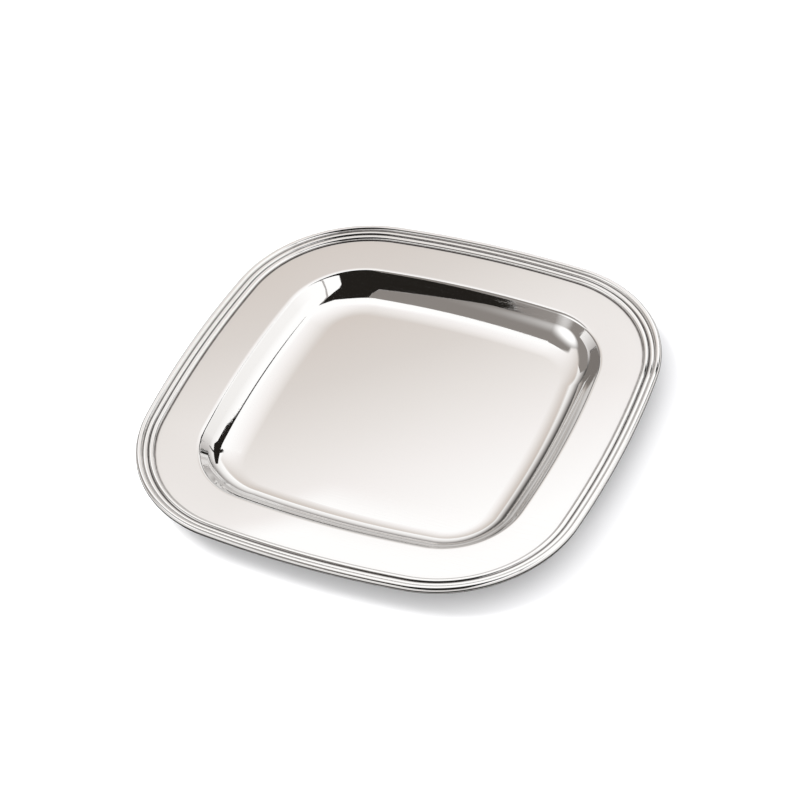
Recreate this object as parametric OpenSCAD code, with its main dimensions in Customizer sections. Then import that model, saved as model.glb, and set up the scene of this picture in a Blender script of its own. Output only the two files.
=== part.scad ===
// Square silver salver with bowed sides, rounded corners and a reeded border.
// The pan is one raised sheet: a flat floor, a coved wall and a wide, gently rising brim.
// A reeded moulding in four lengths lies on the brim, and a round wire in four lengths
// finishes its edge.
// The origin is at the middle of the base, +Z is up and -Y is the front.

/* [Plan] */
// Width across the middles of two opposite sides
tray_w = 250; // [244:2:260]
// Distance of each corner arc's centre from the middle, along X and along Y
corner_center = 48; // [44:2:48]

/* [Pan] */
// Thickness of the sheet
sheet_t = 1; // [0.8:0.1:1.2]
// Depth of the well, from the inner edge of the brim down to the floor
well_depth = 13.7; // [13.2:0.1:14.2]
// Radius of the cove between the floor and the wall
cove_r = 24; // [22:1:26]
// Slope of the wall between the cove and the brim, in degrees
wall_slope = 50; // [48:1:52]
// Radius of the bend between the wall and the brim
bend_r = 3.5; // [3:0.5:4]
// Width of the brim with its border, from the bend to the outside
brim_w = 30.8; // [29.8:0.2:31.8]
// Rise of the brim for each millimetre outward
brim_rise = 0.065; // [0.06:0.005:0.07]

/* [Border] */
// Diameter of the round wire on the edge
wire_d = 3.6; // [3.4:0.1:3.8]
// Diameter of each reed of the moulding
reed_d = 3.4; // [3.2:0.1:3.6]
// Distance from one reed to the next
reed_pitch = 3.15; // [3:0.05:3.3]
// Number of reeds in the moulding
reed_count = 2; // [1:1:3]

/* [Hidden] */
$fa = 1;
$fs = 0.2;

PAN_SILVER = [0.84, 0.82, 0.80];
REED_SILVER = [0.72, 0.70, 0.68];
WIRE_SILVER = [0.93, 0.92, 0.90];

// A thousandth of a millimetre is fine enough for every worked-out length.
function mm(length) = round(length * 1000) / 1000;

// Plan: four long side arcs run smoothly into four corner arcs. The middle, a side's
// centre and a corner's centre make a right triangle with sides of 40, 399 and 401 parts,
// so the arcs are exactly tangent and all their centres and radii are round numbers.
SHORT_PARTS = 40;
LONG_PARTS = 399;
SLANT_PARTS = 401;
plan_part = corner_center / SHORT_PARTS;
side_center = (LONG_PARTS - SHORT_PARTS) * plan_part;
corner_r = tray_w / 2 - (SHORT_PARTS + SLANT_PARTS - LONG_PARTS) * plan_part;
side_r = corner_r + SLANT_PARTS * plan_part;

// Where one arc hands over to the next, at the front right corner. Each handover line
// starts at a side's centre, passes through the corner's centre and ends outside the tray.
FRONT_CENTER = [0, side_center];
CORNER_CENTER = [corner_center, -corner_center];
across_run = SHORT_PARTS * plan_part / 4;
along_run = LONG_PARTS * plan_part / 4;
outside = corner_center + along_run;
FRONT_HANDOVER = [corner_center + across_run, -outside];
RIGHT_HANDOVER = [outside, -corner_center - across_run];
DIAGONAL_END = [outside, -outside];
FRONT_MIDDLE = [0, -outside];
function across(place) = [-place[0], place[1]];

// Section: places across it are measured outward from the salver's outside, so they are
// negative on the pan. Heights are those of the upper face of the sheet.
bend_z = sheet_t + well_depth;
brim_slope = atan(brim_rise);
function brim_z(out) = bend_z + brim_rise * (out + brim_w);

wall_rise = well_depth
    - cove_r * (1 - cos(wall_slope))
    - bend_r * (cos(brim_slope) - cos(wall_slope));
floor_out = -brim_w
    - bend_r * (sin(wall_slope) - sin(brim_slope))
    - wall_rise / tan(wall_slope)
    - cove_r * sin(wall_slope);
COVE_AXIS = [floor_out, sheet_t + cove_r];
BEND_AXIS = [-brim_w + bend_r * sin(brim_slope), bend_z - bend_r * cos(brim_slope)];
COVE_STEPS = 10;
BEND_STEPS = 6;
// The sheet stops short of the wire's outside, so the wire covers its edge.
sheet_out = -0.8;
// The swept sheet reaches in over the floor to this radius about each corner's centre,
// well inside the plate that fills the middle of the floor.
sweep_inner_r = 3;
sweep_in = sweep_inner_r - corner_r;

// The wire's middle stands this far above the brim, which leaves it a narrow flat seat.
wire_lift = 1.4;
wire_out = -wire_d / 2;
wire_z = mm(brim_z(wire_out) + wire_lift);
// The reeds are a little more than half round. The first one nests against the wire.
reed_lift = 0.11;
nesting = 0.87;
first_reed_out = mm(wire_out - nesting * (wire_d + reed_d) / 2);
function reed_out(i) = first_reed_out - i * reed_pitch;

// Higher than the whole salver, for the blocks that cut its sweeps
tall = 30;
below = 1;
// Width of the block that cuts the border flat underneath
seat_w = 20;

// One station of the sheet: a place on its upper face, and the slope there
function station(axis, r, slope) = [axis[0] + r * sin(slope), axis[1] - r * cos(slope), slope];
function upper(s) = [mm(s[0]), mm(s[1])];
function lower(s) = [mm(s[0] + sheet_t * sin(s[2])), mm(s[1] - sheet_t * cos(s[2]))];

SHEET_STATIONS = concat(
    [[sweep_in, sheet_t, 0]],
    [for (i = [0:COVE_STEPS]) station(COVE_AXIS, cove_r, wall_slope * i / COVE_STEPS)],
    [for (i = [0:BEND_STEPS])
        station(BEND_AXIS, -bend_r, wall_slope + (brim_slope - wall_slope) * i / BEND_STEPS)],
    [[sheet_out, brim_z(sheet_out), brim_slope]]
);

module sheet_section() {
    last = len(SHEET_STATIONS) - 1;
    polygon(concat(
        [for (i = [0:last]) upper(SHEET_STATIONS[i])],
        [for (i = [last:-1:0]) lower(SHEET_STATIONS[i])]
    ));
}

// Everything under the line of the brim's upper face
module under_brim() {
    polygon([[-seat_w, 0], [0, 0], [0, brim_z(0)], [-seat_w, brim_z(-seat_w)]]);
}

module wire_round() {
    translate([wire_out, wire_z]) circle(d = wire_d);
}

module wire_section() {
    difference() {
        wire_round();
        under_brim();
    }
}

module reed_section() {
    difference() {
        for (i = [0:reed_count - 1])
            translate([reed_out(i), mm(brim_z(reed_out(i)) + reed_lift)]) circle(d = reed_d);
        wire_round();
        under_brim();
    }
}

// A block that stands on a plan outline
module block(outline) {
    translate([0, 0, -below]) linear_extrude(height = below + tall) polygon(outline);
}

// A section swept along the front side, between two of its places
module front_side(from, to) {
    intersection() {
        translate(FRONT_CENTER) rotate_extrude() translate([side_r, 0]) children();
        block([FRONT_CENTER, from, to]);
    }
}

// A section swept around the front right corner, between the lines to its places
module front_right_corner(places) {
    intersection() {
        translate(CORNER_CENTER) rotate_extrude() translate([corner_r, 0]) children();
        block(concat([CORNER_CENTER], places));
    }
}

// A length with its ends at the middles of two sides, around the front right corner
module around_corner() {
    front_side(FRONT_MIDDLE, FRONT_HANDOVER) children();
    front_right_corner([FRONT_HANDOVER, DIAGONAL_END, RIGHT_HANDOVER]) children();
    rotate(90) front_side(across(FRONT_HANDOVER), FRONT_MIDDLE) children();
}

// A length with its ends at the middles of two corners, along the front side
module along_side() {
    rotate(-90) front_right_corner([DIAGONAL_END, RIGHT_HANDOVER]) children();
    front_side(across(FRONT_HANDOVER), FRONT_HANDOVER) children();
    front_right_corner([FRONT_HANDOVER, DIAGONAL_END]) children();
}

module pan() {
    plate_half = corner_center + (corner_r + floor_out) / 2;
    color(PAN_SILVER) {
        for (turn = [0:90:270]) rotate(turn) {
            front_side(across(FRONT_HANDOVER), FRONT_HANDOVER) sheet_section();
            front_right_corner([FRONT_HANDOVER, DIAGONAL_END, RIGHT_HANDOVER]) sheet_section();
        }
        translate([-plate_half, -plate_half, 0]) cube([2 * plate_half, 2 * plate_half, sheet_t]);
    }
}

module reeded_border(turn) {
    color(REED_SILVER) rotate(turn) around_corner() reed_section();
}

module edge_wire(turn) {
    color(WIRE_SILVER) rotate(turn) along_side() wire_section();
}

pan();
reeded_border(0);  // reeded_border_front_right
reeded_border(90);  // reeded_border_back_right
reeded_border(180);  // reeded_border_back_left
reeded_border(270);  // reeded_border_front_left
edge_wire(0);  // edge_wire_front
edge_wire(90);  // edge_wire_right
edge_wire(180);  // edge_wire_back
edge_wire(270);  // edge_wire_left
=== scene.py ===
"""Polished silver salver: a swept sheet with a reeded border and an edge wire, in a white studio."""

import math

import bpy
from mathutils import Matrix, Vector


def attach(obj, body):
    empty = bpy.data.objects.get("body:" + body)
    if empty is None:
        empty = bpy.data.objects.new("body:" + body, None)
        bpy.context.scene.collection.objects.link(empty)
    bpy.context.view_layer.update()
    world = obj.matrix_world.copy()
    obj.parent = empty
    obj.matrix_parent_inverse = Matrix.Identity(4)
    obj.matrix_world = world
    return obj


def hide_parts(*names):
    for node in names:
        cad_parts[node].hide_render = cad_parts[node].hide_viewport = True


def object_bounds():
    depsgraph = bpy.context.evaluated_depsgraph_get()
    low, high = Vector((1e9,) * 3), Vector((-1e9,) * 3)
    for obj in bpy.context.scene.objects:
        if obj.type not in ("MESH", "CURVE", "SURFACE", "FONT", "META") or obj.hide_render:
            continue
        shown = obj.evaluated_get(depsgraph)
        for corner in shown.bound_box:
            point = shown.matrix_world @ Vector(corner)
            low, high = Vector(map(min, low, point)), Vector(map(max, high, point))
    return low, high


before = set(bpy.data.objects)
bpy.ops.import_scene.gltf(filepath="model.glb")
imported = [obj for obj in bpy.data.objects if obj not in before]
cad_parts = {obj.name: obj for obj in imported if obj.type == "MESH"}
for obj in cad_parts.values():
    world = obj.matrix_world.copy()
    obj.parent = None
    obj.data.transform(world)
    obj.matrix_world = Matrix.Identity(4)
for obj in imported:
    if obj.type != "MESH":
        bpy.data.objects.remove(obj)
cad_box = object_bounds()

MM = 0.001

# ---------------------------------------------------------------- sizes
# They are those of the CAD source, apart from RIM_ROUND, SOLDER_GAP, the reach of the tarnish
# and the fineness of the mesh.
HALF_WIDTH = cad_box[1].x
TOP = cad_box[1].z

# plan: each side and each corner is one arc, and they meet without an angle. A corner's centre
# is 40 parts across and 399 parts along from a side's centre, so 401 parts straight.
SHORT_PARTS = 40
LONG_PARTS = 399
SLANT_PARTS = 401
CORNER_CENTER = 48 * MM
PLAN_PART = CORNER_CENTER / SHORT_PARTS
SIDE_CENTER = (LONG_PARTS - SHORT_PARTS) * PLAN_PART
CORNER_R = HALF_WIDTH - (SHORT_PARTS + SLANT_PARTS - LONG_PARTS) * PLAN_PART
SIDE_R = CORNER_R + SLANT_PARTS * PLAN_PART
SIDE_HALF_ANGLE = math.atan(SHORT_PARTS / LONG_PARTS)

# sheet
SHEET_T = 1 * MM
WELL_DEPTH = 13.7 * MM
COVE_R = 24 * MM
WALL_SLOPE = math.radians(50)
BEND_R = 3.5 * MM
BRIM_W = 30.8 * MM
BRIM_RISE = 0.065
BRIM_SLOPE = math.atan(BRIM_RISE)
BRIM_Z = SHEET_T + WELL_DEPTH
RIM_OUT = -0.8 * MM
RIM_ROUND = 0.3 * MM

# edge wire and reeds. The first reed nests against the wire, and each reed is a little more
# than half round.
WIRE_R = 1.8 * MM
WIRE_OUT = -WIRE_R
WIRE_Z = TOP - WIRE_R
REED_R = 1.7 * MM
REED_PITCH = 3.15 * MM
REED_LIFT = 0.11 * MM
REEDS = 2
NESTING = 0.87
FIRST_REED_OUT = WIRE_OUT - NESTING * (WIRE_R + REED_R)
SOLDER_GAP = 0.02 * MM
REED_FOOT_OUT = FIRST_REED_OUT - REED_PITCH * (REEDS - 1) - REED_R

# tarnish lies about this far from a crevice, and the sheet's mesh is fine this far each side
# of the reeds' foot
HOLLOW_REACH = 0.6 * MM
FOOT_REACH = 1.2 * MM

# steps of the swept meshes, along half a side and half a corner
SIDE_STEPS = 14
CORNER_STEPS = 36
# steps across the sheet, which is swept this far in over the floor, and the smaller rings that
# close its middle
FLOOR_MARGIN = 6 * MM
FLOOR_STEPS = 3
COVE_STEPS = 44
WALL_STEPS = 6
BEND_STEPS = 20
BRIM_STEPS = 8
FOOT_STEPS = 10
UNDER_BORDER_STEPS = 5
RIM_STEPS = 12
FLOOR_RINGS = (0.75, 0.5, 0.25)
# steps across the wire and the reeds
WIRE_STEPS = 48
WIRE_FOOT_STEPS = 2
REED_STEPS = 24
NEST_STEPS = 6
REED_TOE_STEPS = 4
REED_FOOT_STEPS = 4


def brim_z(out):
    """Height of the brim's upper face at a place measured outward from the outside."""
    return BRIM_Z + BRIM_RISE * (out + BRIM_W)


# ---------------------------------------------------------------- plan
def turned(point, quarters):
    """A plan point or direction, turned anticlockwise about the middle by quarters."""
    x, y = point
    for _ in range(quarters % 4):
        x, y = -y, x
    return x, y


def front_side_half():
    """Points of the outside and their outward directions, from mid side to mid corner."""
    side = (0, SIDE_CENTER, SIDE_R, 0, SIDE_HALF_ANGLE, SIDE_STEPS)
    corner = (CORNER_CENTER, -CORNER_CENTER, CORNER_R, SIDE_HALF_ANGLE, math.pi / 4, CORNER_STEPS)
    stations = []
    for center_x, center_y, r, first, last, steps in (side, corner):
        for i in range(steps + 1):
            turn = first + (last - first) * i / steps
            way = (math.sin(turn), -math.cos(turn))
            stations.append(((center_x + r * way[0], center_y + r * way[1]), way))
        if r == SIDE_R:
            stations.pop()
    return stations


def outline(start, end):
    """The outside from one eighth to another: 0 is mid front side, 1 the middle of the front
    right corner, 2 mid right side, and so on anticlockwise."""
    stations = []
    for eighth in range(start, end):
        half = front_side_half()
        if eighth % 2 == 1:
            half = [((-p[0], p[1]), (-d[0], d[1])) for p, d in reversed(half)]
        quarters = (eighth + 1) // 2
        half = [(turned(p, quarters), turned(d, quarters)) for p, d in half]
        stations.extend(half[1:] if stations else half)
    return stations


# ---------------------------------------------------------------- sections
# A section is a list of runs, and a run a list of (out, z, facing): a place measured outward
# from the outside, its height, and the angle of the surface's normal turned outward from
# straight up. The surface is smooth along a run and has an edge where two runs meet.
def line(start, end, steps):
    """A straight run, with the surface on its left."""
    facing = math.atan2(start[1] - end[1], end[0] - start[0])
    return [(start[0] + (end[0] - start[0]) * i / steps, start[1] + (end[1] - start[1]) * i / steps, facing)
            for i in range(steps + 1)]


def arc(center, r, first, last, steps):
    """A round run about a centre. A negative radius makes it hollow."""
    run = []
    for i in range(steps + 1):
        facing = first + (last - first) * i / steps
        run.append((center[0] + r * math.sin(facing), center[1] + r * math.cos(facing), facing))
    return run


def joined(*parts):
    """One smooth run from several that meet without an edge."""
    run = list(parts[0])
    for part in parts[1:]:
        run.extend(part[1:])
    return run


def sheet_face(depth):
    """The sheet's face at a depth below its upper face, from the floor out to its rim."""
    bend_axis = (-BRIM_W + BEND_R * math.sin(BRIM_SLOPE), BRIM_Z - BEND_R * math.cos(BRIM_SLOPE))
    wall_top_out = bend_axis[0] - BEND_R * math.sin(WALL_SLOPE)
    wall_top_z = bend_axis[1] + BEND_R * math.cos(WALL_SLOPE)
    wall_foot_z = SHEET_T + COVE_R * (1 - math.cos(WALL_SLOPE))
    wall_foot_out = wall_top_out - (wall_top_z - wall_foot_z) / math.tan(WALL_SLOPE)
    cove_axis = (wall_foot_out - COVE_R * math.sin(WALL_SLOPE), SHEET_T + COVE_R)
    cove = arc(cove_axis, -(COVE_R + depth), 0, -WALL_SLOPE, COVE_STEPS)
    bend = arc(bend_axis, BEND_R - depth, -WALL_SLOPE, -BRIM_SLOPE, BEND_STEPS)
    rim = (RIM_OUT - RIM_ROUND + depth * math.sin(BRIM_SLOPE),
           brim_z(RIM_OUT - RIM_ROUND) - depth * math.cos(BRIM_SLOPE))
    floor = line((cove[0][0] - FLOOR_MARGIN, cove[0][1]), cove[0], FLOOR_STEPS)
    wall = line(cove[-1], bend[0], WALL_STEPS)
    brim = []
    stretches = ((REED_FOOT_OUT - FOOT_REACH, BRIM_STEPS), (REED_FOOT_OUT + FOOT_REACH, FOOT_STEPS),
                 (rim[0], UNDER_BORDER_STEPS))
    for out, steps in stretches:
        start = brim[-1][-1] if brim else bend[-1]
        along = (out - start[0]) / (rim[0] - start[0])
        end = (start[0] + (rim[0] - start[0]) * along, start[1] + (rim[1] - start[1]) * along)
        brim.append(line(start, end, steps))
    return joined(floor, cove, wall, bend, *brim)


def sheet_section():
    """Upper face outward, round the rim, and lower face back in."""
    upper = sheet_face(0)
    lower = sheet_face(SHEET_T)
    middle_out = (upper[-1][0] + lower[-1][0]) / 2
    middle_z = (upper[-1][1] + lower[-1][1]) / 2
    rim = []
    for i in range(RIM_STEPS + 1):
        turn = math.pi * i / RIM_STEPS
        along = RIM_ROUND * math.sin(turn)
        up = SHEET_T / 2 * math.cos(turn)
        rim.append((middle_out + along * math.cos(BRIM_SLOPE) - up * math.sin(BRIM_SLOPE),
                    middle_z + along * math.sin(BRIM_SLOPE) + up * math.cos(BRIM_SLOPE),
                    turn - BRIM_SLOPE))
    back = [(out, z, facing + math.pi) for out, z, facing in reversed(lower)]
    return [joined(upper, rim, back)]


def wire_section():
    """The edge wire: round, with a flat soldered to the brim."""
    height = (WIRE_Z - brim_z(WIRE_OUT)) * math.cos(BRIM_SLOPE)
    foot = math.pi - math.acos(height / WIRE_R)
    top = arc((WIRE_OUT, WIRE_Z), WIRE_R, -foot - BRIM_SLOPE, foot - BRIM_SLOPE, WIRE_STEPS)
    return [top, line(top[-1], top[0], WIRE_FOOT_STEPS)]


def reed_center(i):
    """The middle of a reed, counted inward from the wire."""
    out = FIRST_REED_OUT - REED_PITCH * i
    return out, brim_z(out) + REED_LIFT


def reed_section():
    """The reeds side by side, cut to fit the wire, on a flat soldered to the brim."""
    foot = math.pi / 2 + math.asin(REED_LIFT * math.cos(BRIM_SLOPE) / REED_R)
    groove = math.asin(REED_PITCH / math.cos(BRIM_SLOPE) / 2 / REED_R)
    centers = [reed_center(i) for i in reversed(range(REEDS))]
    runs = []
    for center in centers[:-1]:
        start = groove if runs else foot
        runs.append(arc(center, REED_R, -start - BRIM_SLOPE, groove - BRIM_SLOPE, REED_STEPS))
    outer = centers[-1]
    reach = (WIRE_OUT - outer[0], WIRE_Z - outer[1])
    apart = math.hypot(*reach)
    lean = math.atan2(*reach)
    fit_r = WIRE_R + SOLDER_GAP
    reed_half = math.acos((apart ** 2 + REED_R ** 2 - fit_r ** 2) / (2 * apart * REED_R))
    wire_half = math.acos((apart ** 2 + fit_r ** 2 - REED_R ** 2) / (2 * apart * fit_r))
    runs.append(arc(outer, REED_R, -groove - BRIM_SLOPE, lean - reed_half, REED_STEPS))
    runs.append(arc((WIRE_OUT, WIRE_Z), -fit_r, lean + wire_half, lean - wire_half, NEST_STEPS))
    runs.append(arc(outer, REED_R, lean + reed_half, foot - BRIM_SLOPE, REED_TOE_STEPS))
    runs.append(line(runs[-1][-1], runs[0][0], REED_FOOT_STEPS))
    return runs


def crevices():
    """The places in the section where the polishing cloth doesn't reach."""
    places = [(REED_FOOT_OUT, brim_z(REED_FOOT_OUT))]
    for i in range(REEDS):
        near = (WIRE_OUT, WIRE_Z) if i == 0 else reed_center(i - 1)
        far = reed_center(i)
        reach = (near[0] - far[0], near[1] - far[1])
        apart = math.hypot(*reach)
        rise = math.sqrt(REED_R ** 2 - (apart / 2) ** 2)
        places.append((far[0] + reach[0] / 2 - reach[1] / apart * rise,
                       far[1] + reach[1] / 2 + reach[0] / apart * rise))
    return places


def hollow(out, z):
    """1 in a crevice, falling to 0 away from it."""
    nearest = min(math.hypot(out - place[0], z - place[1]) for place in crevices())
    return math.exp(-(nearest / HOLLOW_REACH) ** 2)


# ---------------------------------------------------------------- sweeping
class Skin:
    """Vertices with how deep in a crevice each is, faces, and the true normal at each face corner."""

    def __init__(self):
        self.verts = []
        self.hollows = []
        self.faces = []
        self.normals = []

    def face(self, ring, normals, flipped=False):
        self.faces.append(ring[::-1] if flipped else ring)
        self.normals.extend(normals[::-1] if flipped else normals)

    def object(self, name):
        mesh = bpy.data.meshes.new(name)
        mesh.from_pydata(self.verts, [], self.faces)
        mesh.shade_smooth()
        mesh.normals_split_custom_set(self.normals)
        depth = mesh.attributes.new("hollow", "FLOAT", "POINT")
        depth.data.foreach_set("value", self.hollows + [0.0] * (len(self.verts) - len(self.hollows)))
        obj = bpy.data.objects.new(name, mesh)
        bpy.context.scene.collection.objects.link(obj)
        return obj


def sweep(stations, runs, all_round):
    """The skin of a section carried along the outline, and how many points the section has."""
    points = []
    strips = []
    for run in runs:
        strips.extend((len(points) + i, run[i][2], run[i + 1][2]) for i in range(len(run) - 1))
        points.extend(run[:-1])
    if len(runs) == 1:
        points.append(runs[0][-1])
    n = len(points)
    skin = Skin()
    skin.verts = [(p[0] + out * d[0], p[1] + out * d[1], z) for p, d in stations for out, z, _ in points]
    skin.hollows = [hollow(out, z) for out, z, _ in points] * len(stations)

    def normal(station, facing):
        d = stations[station][1]
        return (d[0] * math.sin(facing), d[1] * math.sin(facing), math.cos(facing))

    count = len(stations)
    for s in range(count if all_round else count - 1):
        e = (s + 1) % count
        for i, first, last in strips:
            j = (i + 1) % n
            skin.face([s * n + i, s * n + j, e * n + j, e * n + i],
                      [normal(s, first), normal(s, last), normal(e, last), normal(e, first)])
    return skin, n


def rod(name, stations, runs):
    """A solid length of a closed section, with flat ends."""
    skin, n = sweep(stations, runs, all_round=False)
    last = len(stations) - 1
    for s, sign in ((0, -1), (last, 1)):
        d = stations[s][1]
        end = (-d[1] * sign, d[0] * sign, 0)
        skin.face([s * n + i for i in range(n)], [end] * n, flipped=sign < 0)
    return skin.object(name)


def fill_middle(skin, ring, up):
    """Closes a ring with smaller rings and a fan to the middle."""
    count = len(ring)
    height = skin.verts[ring[0]][2]
    edge = [skin.verts[v][:2] for v in ring]
    for scale in FLOOR_RINGS:
        inner = list(range(len(skin.verts), len(skin.verts) + count))
        skin.verts.extend((x * scale, y * scale, height) for x, y in edge)
        for s in range(count):
            e = (s + 1) % count
            skin.face([inner[s], ring[s], ring[e], inner[e]], [(0, 0, up)] * 4, flipped=up < 0)
        ring = inner
    middle = len(skin.verts)
    skin.verts.append((0, 0, height))
    for s in range(count):
        skin.face([middle, ring[s], ring[(s + 1) % count]], [(0, 0, up)] * 3, flipped=up < 0)


def dish(name, stations, runs):
    """A sheet all round with its flat middle, both faces."""
    skin, n = sweep(stations, runs, all_round=True)
    for i, up in ((0, 1), (n - 1, -1)):
        fill_middle(skin, [s * n + i for s in range(len(stations))], up)
    return skin.object(name)


# ---------------------------------------------------------------- materials
class Nodes:
    """Short calls for building a node tree."""

    def __init__(self, tree):
        self.tree = tree
        tree.nodes.clear()

    def add(self, kind, inputs=None, **settings):
        node = self.tree.nodes.new(kind)
        for key, value in settings.items():
            setattr(node, key, value)
        for key, value in (inputs or {}).items():
            if isinstance(value, bpy.types.NodeSocket):
                self.tree.links.new(value, node.inputs[key])
            else:
                node.inputs[key].default_value = value
        return node

    def math(self, operation, a, b=0.0, clamp=False):
        return self.add("ShaderNodeMath", {0: a, 1: b}, operation=operation, use_clamp=clamp).outputs[0]

    def ramp(self, factor, stops):
        node = self.add("ShaderNodeValToRGB", {"Fac": factor})
        ramp = node.color_ramp
        while len(ramp.elements) < len(stops):
            ramp.elements.new(0.5)
        for element, (place, color) in zip(ramp.elements, stops):
            element.position = place
            element.color = (*color, 1)
        return node.outputs["Color"]

    def mix(self, factor, a, b):
        """Colour a where the factor is 0 and colour b where it is 1."""
        return self.add("ShaderNodeMix", {0: factor, 6: a, 7: b}, data_type="RGBA").outputs[2]

    def vector(self, operation, a, b=(0.0, 0.0, 0.0)):
        return self.add("ShaderNodeVectorMath", {0: a, 1: b}, operation=operation).outputs

    def x_and_y(self, vector):
        return self.add("ShaderNodeSeparateXYZ", {0: vector}).outputs[:2]

    def noise(self, vector, scale, detail=2.0, roughness=0.5, distortion=0.0):
        return self.add("ShaderNodeTexNoise", {
            "Vector": vector, "Scale": scale, "Detail": detail,
            "Roughness": roughness, "Distortion": distortion}).outputs["Fac"]

    def stretched(self, vector, turn, scale):
        return self.add("ShaderNodeMapping", {
            "Vector": vector, "Rotation": (0, 0, math.radians(turn)), "Scale": scale}).outputs["Vector"]


SILVER = (0.955, 0.945, 0.935)
TARNISH = (0.13, 0.11, 0.10)
# hairline scratches run at these angles, in degrees, and are long one way and narrow the other
SCRATCH_TURNS = (17, 64, 108, 151)
SCRATCH_STRETCH = (18, 900, 300)
SCRATCH_DEPTH = 2e-6
# a scratch shows where its noise is over the first of these, and is steeper by the second
SCRATCH_FROM = 0.60
SCRATCH_CONTRAST = 5.0
# noise scales, in features for each metre
HAZE_SCALE = 38.0
FINE_HAZE_SCALE = 240.0
WAVE_SCALE = 26.0
# roughness: its share where the silver is clear, the noise from which haze adds to it, and
# what a scratch and a crevice add
CLEAR_SHARE = 0.7
HAZE_FROM = 0.35
SCRATCH_ROUGHNESS = 0.05
DULL_ROUGHNESS = 0.25
# tarnish is patchy: at least the first of these, and up to the second more
PATCHY_LEAST = 0.6
PATCHY_MORE = 0.8


def silver(name, roughness, scratches, waviness, tarnish):
    """Hand-polished silver: hairline scratches, hazy patches, a gentle waviness, and
    tarnish left where the polishing cloth doesn't reach."""
    material = bpy.data.materials.new(name)
    material.use_nodes = True
    nodes = Nodes(material.node_tree)
    place = nodes.add("ShaderNodeTexCoord").outputs["Object"]

    hairlines = 0.0
    for turn in SCRATCH_TURNS:
        along = nodes.stretched(place, turn, SCRATCH_STRETCH)
        streak = nodes.noise(along, 1.0, detail=3.0, roughness=0.6)
        over = nodes.math("SUBTRACT", streak, SCRATCH_FROM, clamp=True)
        thin = nodes.math("MULTIPLY", over, SCRATCH_CONTRAST, clamp=True)
        hairlines = nodes.math("ADD", thin, hairlines)
    haze = nodes.noise(place, HAZE_SCALE, detail=4.0, roughness=0.6, distortion=0.4)
    fine_haze = nodes.noise(place, FINE_HAZE_SCALE, detail=2.0)

    spread = nodes.math("MULTIPLY", nodes.math("SUBTRACT", haze, HAZE_FROM, clamp=True), roughness)
    spread = nodes.math("ADD", spread, roughness * CLEAR_SHARE)
    spread = nodes.math("ADD", spread, nodes.math("MULTIPLY", hairlines, SCRATCH_ROUGHNESS * scratches))

    wave = nodes.noise(place, WAVE_SCALE, detail=1.0, roughness=0.4)
    bump = nodes.add("ShaderNodeBump", {"Strength": 1.0, "Distance": waviness, "Height": wave})
    bump = nodes.add("ShaderNodeBump", {
        "Strength": 1.0, "Distance": scratches * SCRATCH_DEPTH,
        "Height": hairlines, "Normal": bump.outputs[0]})

    hollow = nodes.add("ShaderNodeAttribute", attribute_name="hollow").outputs["Fac"]
    patchy = nodes.math("ADD", nodes.math("MULTIPLY", fine_haze, PATCHY_MORE), PATCHY_LEAST)
    dull = nodes.math("MULTIPLY", nodes.math("MULTIPLY", hollow, patchy), tarnish, clamp=True)
    color = nodes.mix(dull, (*SILVER, 1), (*TARNISH, 1))
    spread = nodes.math("ADD", spread, nodes.math("MULTIPLY", dull, DULL_ROUGHNESS), clamp=True)

    shader = nodes.add("ShaderNodeBsdfPrincipled", {
        "Base Color": color, "Metallic": 1.0, "Roughness": spread, "Normal": bump.outputs[0]})
    nodes.add("ShaderNodeOutputMaterial", {"Surface": shader.outputs[0]})
    return material


# ---------------------------------------------------------------- the salver
def finish_piece(obj, nodes, material):
    """A piece rides on the salver's one body, stands for its CAD nodes and takes its finish."""
    obj.data.materials.append(material)
    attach(obj, "root")
    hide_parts(*nodes)


pan_silver = silver("pan_silver", roughness=0.035, scratches=1.0, waviness=2e-5, tarnish=0.9)
reed_silver = silver("reed_silver", roughness=0.06, scratches=0.6, waviness=1e-5, tarnish=1.0)
wire_silver = silver("wire_silver", roughness=0.05, scratches=0.8, waviness=1e-5, tarnish=1.0)

finish_piece(dish("pan_sheet", outline(0, 8)[:-1], sheet_section()), ["pan"], pan_silver)

CORNERS = ("front_right", "back_right", "back_left", "front_left")
for i, corner in enumerate(CORNERS):
    border = rod("reeds_" + corner, outline(2 * i, 2 * i + 2), reed_section())
    finish_piece(border, ["reeded_border_" + corner], reed_silver)

SIDES = ("front", "right", "back", "left")
for i, side in enumerate(SIDES):
    wire = rod("wire_" + side, outline(2 * i - 1, 2 * i + 1), wire_section())
    finish_piece(wire, ["edge_wire_" + side], wire_silver)


# ---------------------------------------------------------------- studio
BLACK = (0.016, 0.014, 0.012)
GREY = (0.26, 0.24, 0.225)
SOFT_GREY = (0.45, 0.43, 0.42)
WHITE = (1.1, 1.1, 1.1)
# how much dimmer the studio is where one part of the salver shows it by way of another
DEEP_LOSS = 0.22
DEEP_ROOM_LOSS = 0.7
# the corners of a square, anticlockwise
SQUARE = ((-1, -1), (1, -1), (1, 1), (-1, 1))


def stage_mesh(name, corners):
    """A flat face that belongs to the studio and not to the salver."""
    mesh = bpy.data.meshes.new(name)
    mesh.from_pydata(corners, [], [list(range(len(corners)))])
    obj = bpy.data.objects.new(name, mesh)
    bpy.context.scene.collection.objects.link(obj)
    return obj


def stage_material(obj):
    """A new material on a stage object, and its empty node tree."""
    material = bpy.data.materials.new(obj.name)
    material.use_nodes = True
    obj.data.materials.append(material)
    return Nodes(material.node_tree)


def reflected_only(obj):
    """Seen only in the silver, so it casts no shadow and blocks no camera."""
    obj.visible_camera = False
    obj.visible_diffuse = False
    obj.visible_shadow = False
    obj.visible_transmission = False


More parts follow.
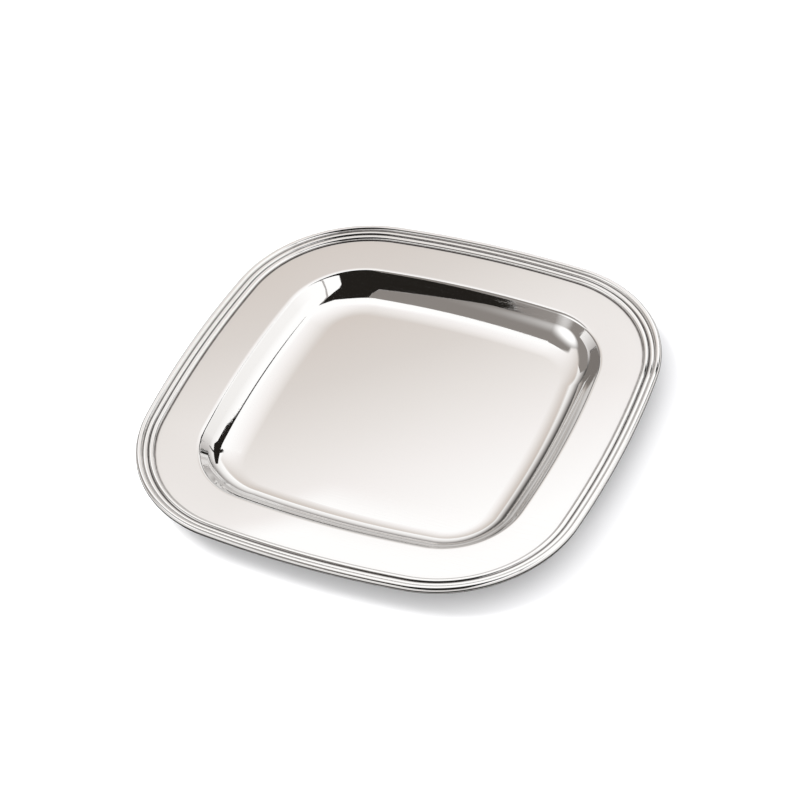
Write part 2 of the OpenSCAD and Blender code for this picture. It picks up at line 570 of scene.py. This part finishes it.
def less_seen_again(nodes, loss):
    """1 where the silver shows the studio directly, and less by the loss where it shows it
    by way of more silver."""
    bounces = nodes.add("ShaderNodeLightPath").outputs["Glossy Depth"]
    deep = nodes.math("GREATER_THAN", bounces, 1.5)
    return nodes.math("SUBTRACT", 1.0, nodes.math("MULTIPLY", deep, loss))


def fade(nodes, value, clear, full):
    """0 up to clear and 1 from full on, eased between them. The two may be in either order."""
    return nodes.add("ShaderNodeMapRange", {"Value": value, "From Min": clear, "From Max": full},
                     interpolation_type="SMOOTHSTEP").outputs["Result"]


def glow(nodes, color, cover=None):
    """Ends a stage material: it glows in one colour, and is clear where cover is 0."""
    shader = nodes.add("ShaderNodeEmission", {"Color": color, "Strength": less_seen_again(nodes, DEEP_LOSS)})
    if cover is not None:
        clear = nodes.add("ShaderNodeBsdfTransparent")
        shader = nodes.add("ShaderNodeMixShader", {0: cover, 1: clear.outputs[0], 2: shader.outputs[0]})
    nodes.add("ShaderNodeOutputMaterial", {"Surface": shader.outputs[0]})


TABLE_REACH = 12
TABLE_WHITE = 0.9
# the table that the silver shows has a painted shadow: it is dark up to the first of these and light from
# the second
TABLE_PAINTED_SHADOW_TO = HALF_WIDTH + 22 * MM
TABLE_LIGHT_FROM = HALF_WIDTH + 34 * MM


def table_corners():
    """A square that reaches far beyond the salver."""
    return [(x * TABLE_REACH, y * TABLE_REACH, 0) for x, y in SQUARE]


def table():
    """The white table that the salver stands on, which the silver doesn't show."""
    white = stage_mesh("table", table_corners())
    white.visible_glossy = False
    nodes = stage_material(white)
    shader = nodes.add("ShaderNodeBsdfDiffuse", {"Color": (TABLE_WHITE, TABLE_WHITE, TABLE_WHITE, 1)})
    nodes.add("ShaderNodeOutputMaterial", {"Surface": shader.outputs[0]})


def table_in_the_silver():
    """The table as the silver shows it, with a painted shadow: dark beside the salver and light further off.
    Places equally far off lie on a square with rounded corners, as the fourth powers make it."""
    shown = stage_mesh("table_in_the_silver", table_corners())
    reflected_only(shown)
    nodes = stage_material(shown)
    x, y = nodes.x_and_y(nodes.add("ShaderNodeTexCoord").outputs["Object"])
    x2, y2 = nodes.math("MULTIPLY", x, x), nodes.math("MULTIPLY", y, y)
    fourth_powers = nodes.math("ADD", nodes.math("MULTIPLY", x2, x2), nodes.math("MULTIPLY", y2, y2))
    off = nodes.math("POWER", fourth_powers, 0.25)
    # painted shadow: the glow is dark close round the salver and light further off
    glow(nodes, nodes.ramp(fade(nodes, off, TABLE_PAINTED_SHADOW_TO, TABLE_LIGHT_FROM), (
        (0.0, (0.05, 0.047, 0.045)),
        (1.0, (0.80, 0.79, 0.78)))))


def card(name, height, slopes, color):
    """A level card overhead. Its corners are given as how far off straight up they are seen."""
    obj = stage_mesh(name, [(x * height, y * height, height) for x, y in slopes])
    reflected_only(obj)
    glow(stage_material(obj), (*color, 1))


def soft_card(name, height, center, radii, color, firm):
    """A level oval card overhead that fades out from a firm middle to its edge."""
    (x, y), (rx, ry) = center, radii
    corners = [(x + a * rx, y + b * ry) for a, b in SQUARE]
    obj = stage_mesh(name, [(a * height, b * height, height) for a, b in corners])
    reflected_only(obj)
    nodes = stage_material(obj)
    place = nodes.add("ShaderNodeTexCoord").outputs["Generated"]
    from_middle = nodes.vector("SUBTRACT", place, (0.5, 0.5, 0.0))["Vector"]
    flat = nodes.vector("MULTIPLY", from_middle, (2.0, 2.0, 0.0))["Vector"]
    far = nodes.vector("LENGTH", flat)["Value"]
    glow(nodes, (*color, 1), fade(nodes, far, 1.0, firm))


# The gradient panel: its height and limits in metres, and how far in from each it fades.
PANEL_HEIGHT = 0.2
PANEL_LEFT, PANEL_LEFT_FADE = -0.29, 0.07
PANEL_RIGHT, PANEL_RIGHT_FADE = 0.04, 0.03
PANEL_FRONT, PANEL_FRONT_FADE = 0.045, 0.03
PANEL_BACK, PANEL_BACK_FADE = 0.34, 0.06
# its front is further back by a step, except on the left
PANEL_STEP = 0.04
PANEL_STEP_FROM, PANEL_STEP_TO = -0.17, -0.11
# its glow changes between these values of y - x, so towards the back left
PANEL_NEAREST, PANEL_FARTHEST = 0.11, 0.50


def gradient_panel():
    """A diffusing panel close above the salver. Its glow is what the floor and the brim show,
    brighter towards the camera."""
    corners = [(x, y, PANEL_HEIGHT) for x, y in (
        (PANEL_LEFT, PANEL_FRONT), (PANEL_RIGHT, PANEL_FRONT),
        (PANEL_RIGHT, PANEL_BACK), (PANEL_LEFT, PANEL_BACK))]
    obj = stage_mesh("gradient_panel", corners)
    reflected_only(obj)
    nodes = stage_material(obj)
    x, y = nodes.x_and_y(nodes.add("ShaderNodeTexCoord").outputs["Object"])
    step = nodes.math("MULTIPLY", fade(nodes, x, PANEL_STEP_FROM, PANEL_STEP_TO), PANEL_STEP)
    cover = fade(nodes, x, PANEL_LEFT, PANEL_LEFT + PANEL_LEFT_FADE)
    for value, limit, inside in (
            (x, PANEL_RIGHT, PANEL_RIGHT - PANEL_RIGHT_FADE),
            (nodes.math("SUBTRACT", y, step), PANEL_FRONT, PANEL_FRONT + PANEL_FRONT_FADE),
            (y, PANEL_BACK, PANEL_BACK - PANEL_BACK_FADE)):
        cover = nodes.math("MULTIPLY", cover, fade(nodes, value, limit, inside))
    away = nodes.math("SUBTRACT", nodes.math("SUBTRACT", y, x), PANEL_NEAREST)
    along = nodes.math("DIVIDE", away, PANEL_FARTHEST - PANEL_NEAREST)
    glow(nodes, cover=cover, color=nodes.ramp(along, (
        (0.03, (1.06, 1.06, 1.06)),
        (0.26, (0.948, 0.922, 0.914)),
        (0.44, (0.840, 0.808, 0.786)),
        (0.62, (0.735, 0.694, 0.664)),
        (0.84, (0.670, 0.612, 0.570)),
        (1.00, (0.600, 0.545, 0.500)))))


# The cards: heights, and corners as slopes off straight up. The black card meets the grey one
# along the shared edge, and the grey one hangs a little higher.
CEILING = 3.0
GREY_CARD_HEIGHT = CEILING + 0.2
BRIGHT_CARD_HEIGHT = CEILING + 0.1
SHARED_EDGE = (
    (-0.17, -0.18), (-0.19, -0.42), (-0.38, -0.82), (-0.66, -1.36), (-0.86, -1.50))
BLACK_FAR_EDGE = (
    (-0.60, -1.62), (0.60, -3.60), (2.20, -3.60), (0.91, -0.90), (0.75, -0.60), (0.71, -0.11),
    (0.69, 0.27), (0.39, -0.02), (0.09, -0.10))
GREY_FAR_EDGE = (
    (-0.31, -0.20), (-0.35, -0.16), (-0.39, -0.09), (-0.41, -0.02), (-0.65, 0.13), (-0.83, 0.22),
    (-1.51, 0.58), (-2.25, 1.25), (-6.00, 2.60), (-6.00, 0.50), (-3.00, -1.30))
DARK_CARD = (
    (0.83, 0.82), (0.79, 0.96), (0.78, 1.15), (0.66, 1.75), (0.60, 3.00), (0.93, 4.50),
    (1.75, 2.36), (1.30, 1.47), (0.88, 1.12), (0.86, 0.92))
DARK_POLE = (
    (-0.08, 0.95), (0.62, 1.24), (1.60, 3.05), (4.05, 6.25), (4.15, 6.75), (1.48, 3.20),
    (0.52, 1.34), (-0.12, 1.02))
GREY_POLE = (
    (0.61, 0.18), (0.73, -0.12), (1.33, -0.48), (1.40, -0.44), (0.78, -0.08), (0.65, 0.20))


def toward(azimuth):
    """A level direction, by its angle from the +X axis in degrees."""
    return math.cos(math.radians(azimuth)), math.sin(math.radians(azimuth)), 0.0


WORLD_COLOR = (0.985, 0.985, 1.0)
WORLD_STRENGTH = 1.35
# the dimmer room lies this way from the salver. It starts to show at the first of these
# cosines off that way, and is full at the second.
ROOM_WAY = 122
ROOM_FROM, ROOM_FULL = 0.60, 0.85
# round this way it reaches higher, by ROOM_HIGHER
ROOM_HIGH_WAY = 160
ROOM_HIGH_FROM, ROOM_HIGH_FULL = 0.70, 0.95
ROOM_HIGHER = 0.13


def studio_world():
    """White light all round. The silver shows it with a dim low edge, and shows a dimmer room
    behind the salver, which reaches higher on the left."""
    world = bpy.data.worlds.new("white_studio")
    bpy.context.scene.world = world
    world.use_nodes = True
    nodes = Nodes(world.node_tree)
    way = nodes.add("ShaderNodeTexCoord").outputs["Generated"]
    rise = nodes.add("ShaderNodeSeparateXYZ", {0: way}).outputs["Z"]
    sky = nodes.ramp(rise, (
        (0.00, (0.42, 0.40, 0.39)),
        (0.10, (0.62, 0.60, 0.59)),
        (0.25, (0.92, 0.91, 0.90)),
        (0.50, (1.06, 1.06, 1.06))))
    high_way = nodes.vector("DOT_PRODUCT", way, toward(ROOM_HIGH_WAY))["Value"]
    high = fade(nodes, high_way, ROOM_HIGH_FROM, ROOM_HIGH_FULL)
    lifted = nodes.math("SUBTRACT", rise, nodes.math("MULTIPLY", high, ROOM_HIGHER))
    room = nodes.ramp(lifted, (
        (0.03, (0.10, 0.095, 0.09)),
        (0.14, (0.45, 0.43, 0.42)),
        (0.26, (0.82, 0.81, 0.80)),
        (0.42, (1.06, 1.06, 1.06))))
    room_way = nodes.vector("DOT_PRODUCT", way, toward(ROOM_WAY))["Value"]
    in_room = fade(nodes, room_way, ROOM_FROM, ROOM_FULL)
    in_room = nodes.math("MULTIPLY", in_room, less_seen_again(nodes, DEEP_ROOM_LOSS))
    all_round = nodes.mix(in_room, sky, room)
    strength = less_seen_again(nodes, DEEP_LOSS)
    seen = nodes.add("ShaderNodeBackground", {"Color": all_round, "Strength": strength})
    light = nodes.add("ShaderNodeBackground", {"Color": (*WORLD_COLOR, 1), "Strength": WORLD_STRENGTH})
    mirror = nodes.add("ShaderNodeLightPath").outputs["Is Glossy Ray"]
    mixed = nodes.add("ShaderNodeMixShader", {0: mirror, 1: light.outputs[0], 2: seen.outputs[0]})
    nodes.add("ShaderNodeOutputWorld", {"Surface": mixed.outputs[0]})


LIGHT_DISTANCE = 2.0


def soft_light(name, azimuth, elevation, size, power):
    """A round soft light aimed at the salver, which the silver doesn't show. Its azimuth is
    from the +X axis."""
    rise = math.radians(elevation)
    level = Vector(toward(azimuth)) * math.cos(rise)
    way = level + Vector((0, 0, math.sin(rise)))
    data = bpy.data.lights.new(name, "AREA")
    data.shape = "DISK"
    data.size = size
    data.energy = power
    light = bpy.data.objects.new(name, data)
    light.location = way * LIGHT_DISTANCE
    light.rotation_mode = "QUATERNION"
    light.rotation_quaternion = way.to_track_quat("Z", "Y")
    light.visible_glossy = False
    light.visible_camera = False
    bpy.context.scene.collection.objects.link(light)


# The camera looks from the front right, well above, a little tilted. Its azimuth is from the
# -Y axis.
CAMERA_AZIMUTH = math.radians(29.67)
CAMERA_ELEVATION = math.radians(44.22)
CAMERA_ROLL = math.radians(-7.75)
CAMERA_TARGET = Vector((1.05, -2.50, 18)) * MM
CAMERA_DISTANCE = 1.4095
CAMERA_LENS = 121.4
CAMERA_SENSOR = 36


def photo_camera():
    """The photograph's viewpoint."""
    level = math.cos(CAMERA_ELEVATION)
    back = Vector((math.sin(CAMERA_AZIMUTH) * level, -math.cos(CAMERA_AZIMUTH) * level,
                   math.sin(CAMERA_ELEVATION)))
    right = Vector((0, 0, 1)).cross(back).normalized()
    turn = Matrix((right, back.cross(right), back)).transposed().to_4x4()
    data = bpy.data.cameras.new("camera")
    data.lens = CAMERA_LENS
    data.sensor_width = CAMERA_SENSOR
    camera = bpy.data.objects.new("camera", data)
    place = Matrix.Translation(CAMERA_TARGET + back * CAMERA_DISTANCE)
    camera.matrix_world = place @ turn @ Matrix.Rotation(CAMERA_ROLL, 4, "Z")
    bpy.context.scene.collection.objects.link(camera)
    bpy.context.scene.camera = camera


table()
table_in_the_silver()
gradient_panel()
card("black_card", CEILING, SHARED_EDGE + BLACK_FAR_EDGE, BLACK)
card("grey_card", GREY_CARD_HEIGHT, SHARED_EDGE[::-1] + GREY_FAR_EDGE, GREY)
soft_card("bright_card", BRIGHT_CARD_HEIGHT, (-1.36, -0.76), (0.95, 0.88), WHITE, firm=0.4)
card("dark_card", CEILING, DARK_CARD, BLACK)
card("dark_pole", CEILING, DARK_POLE, BLACK)
card("grey_pole", CEILING, GREY_POLE, SOFT_GREY)
studio_world()
soft_light("key", azimuth=190, elevation=54, size=1.1, power=34)
soft_light("fill", azimuth=-80, elevation=18, size=1.0, power=18)
photo_camera()
bpy.context.scene.view_settings.view_transform = "Standard"
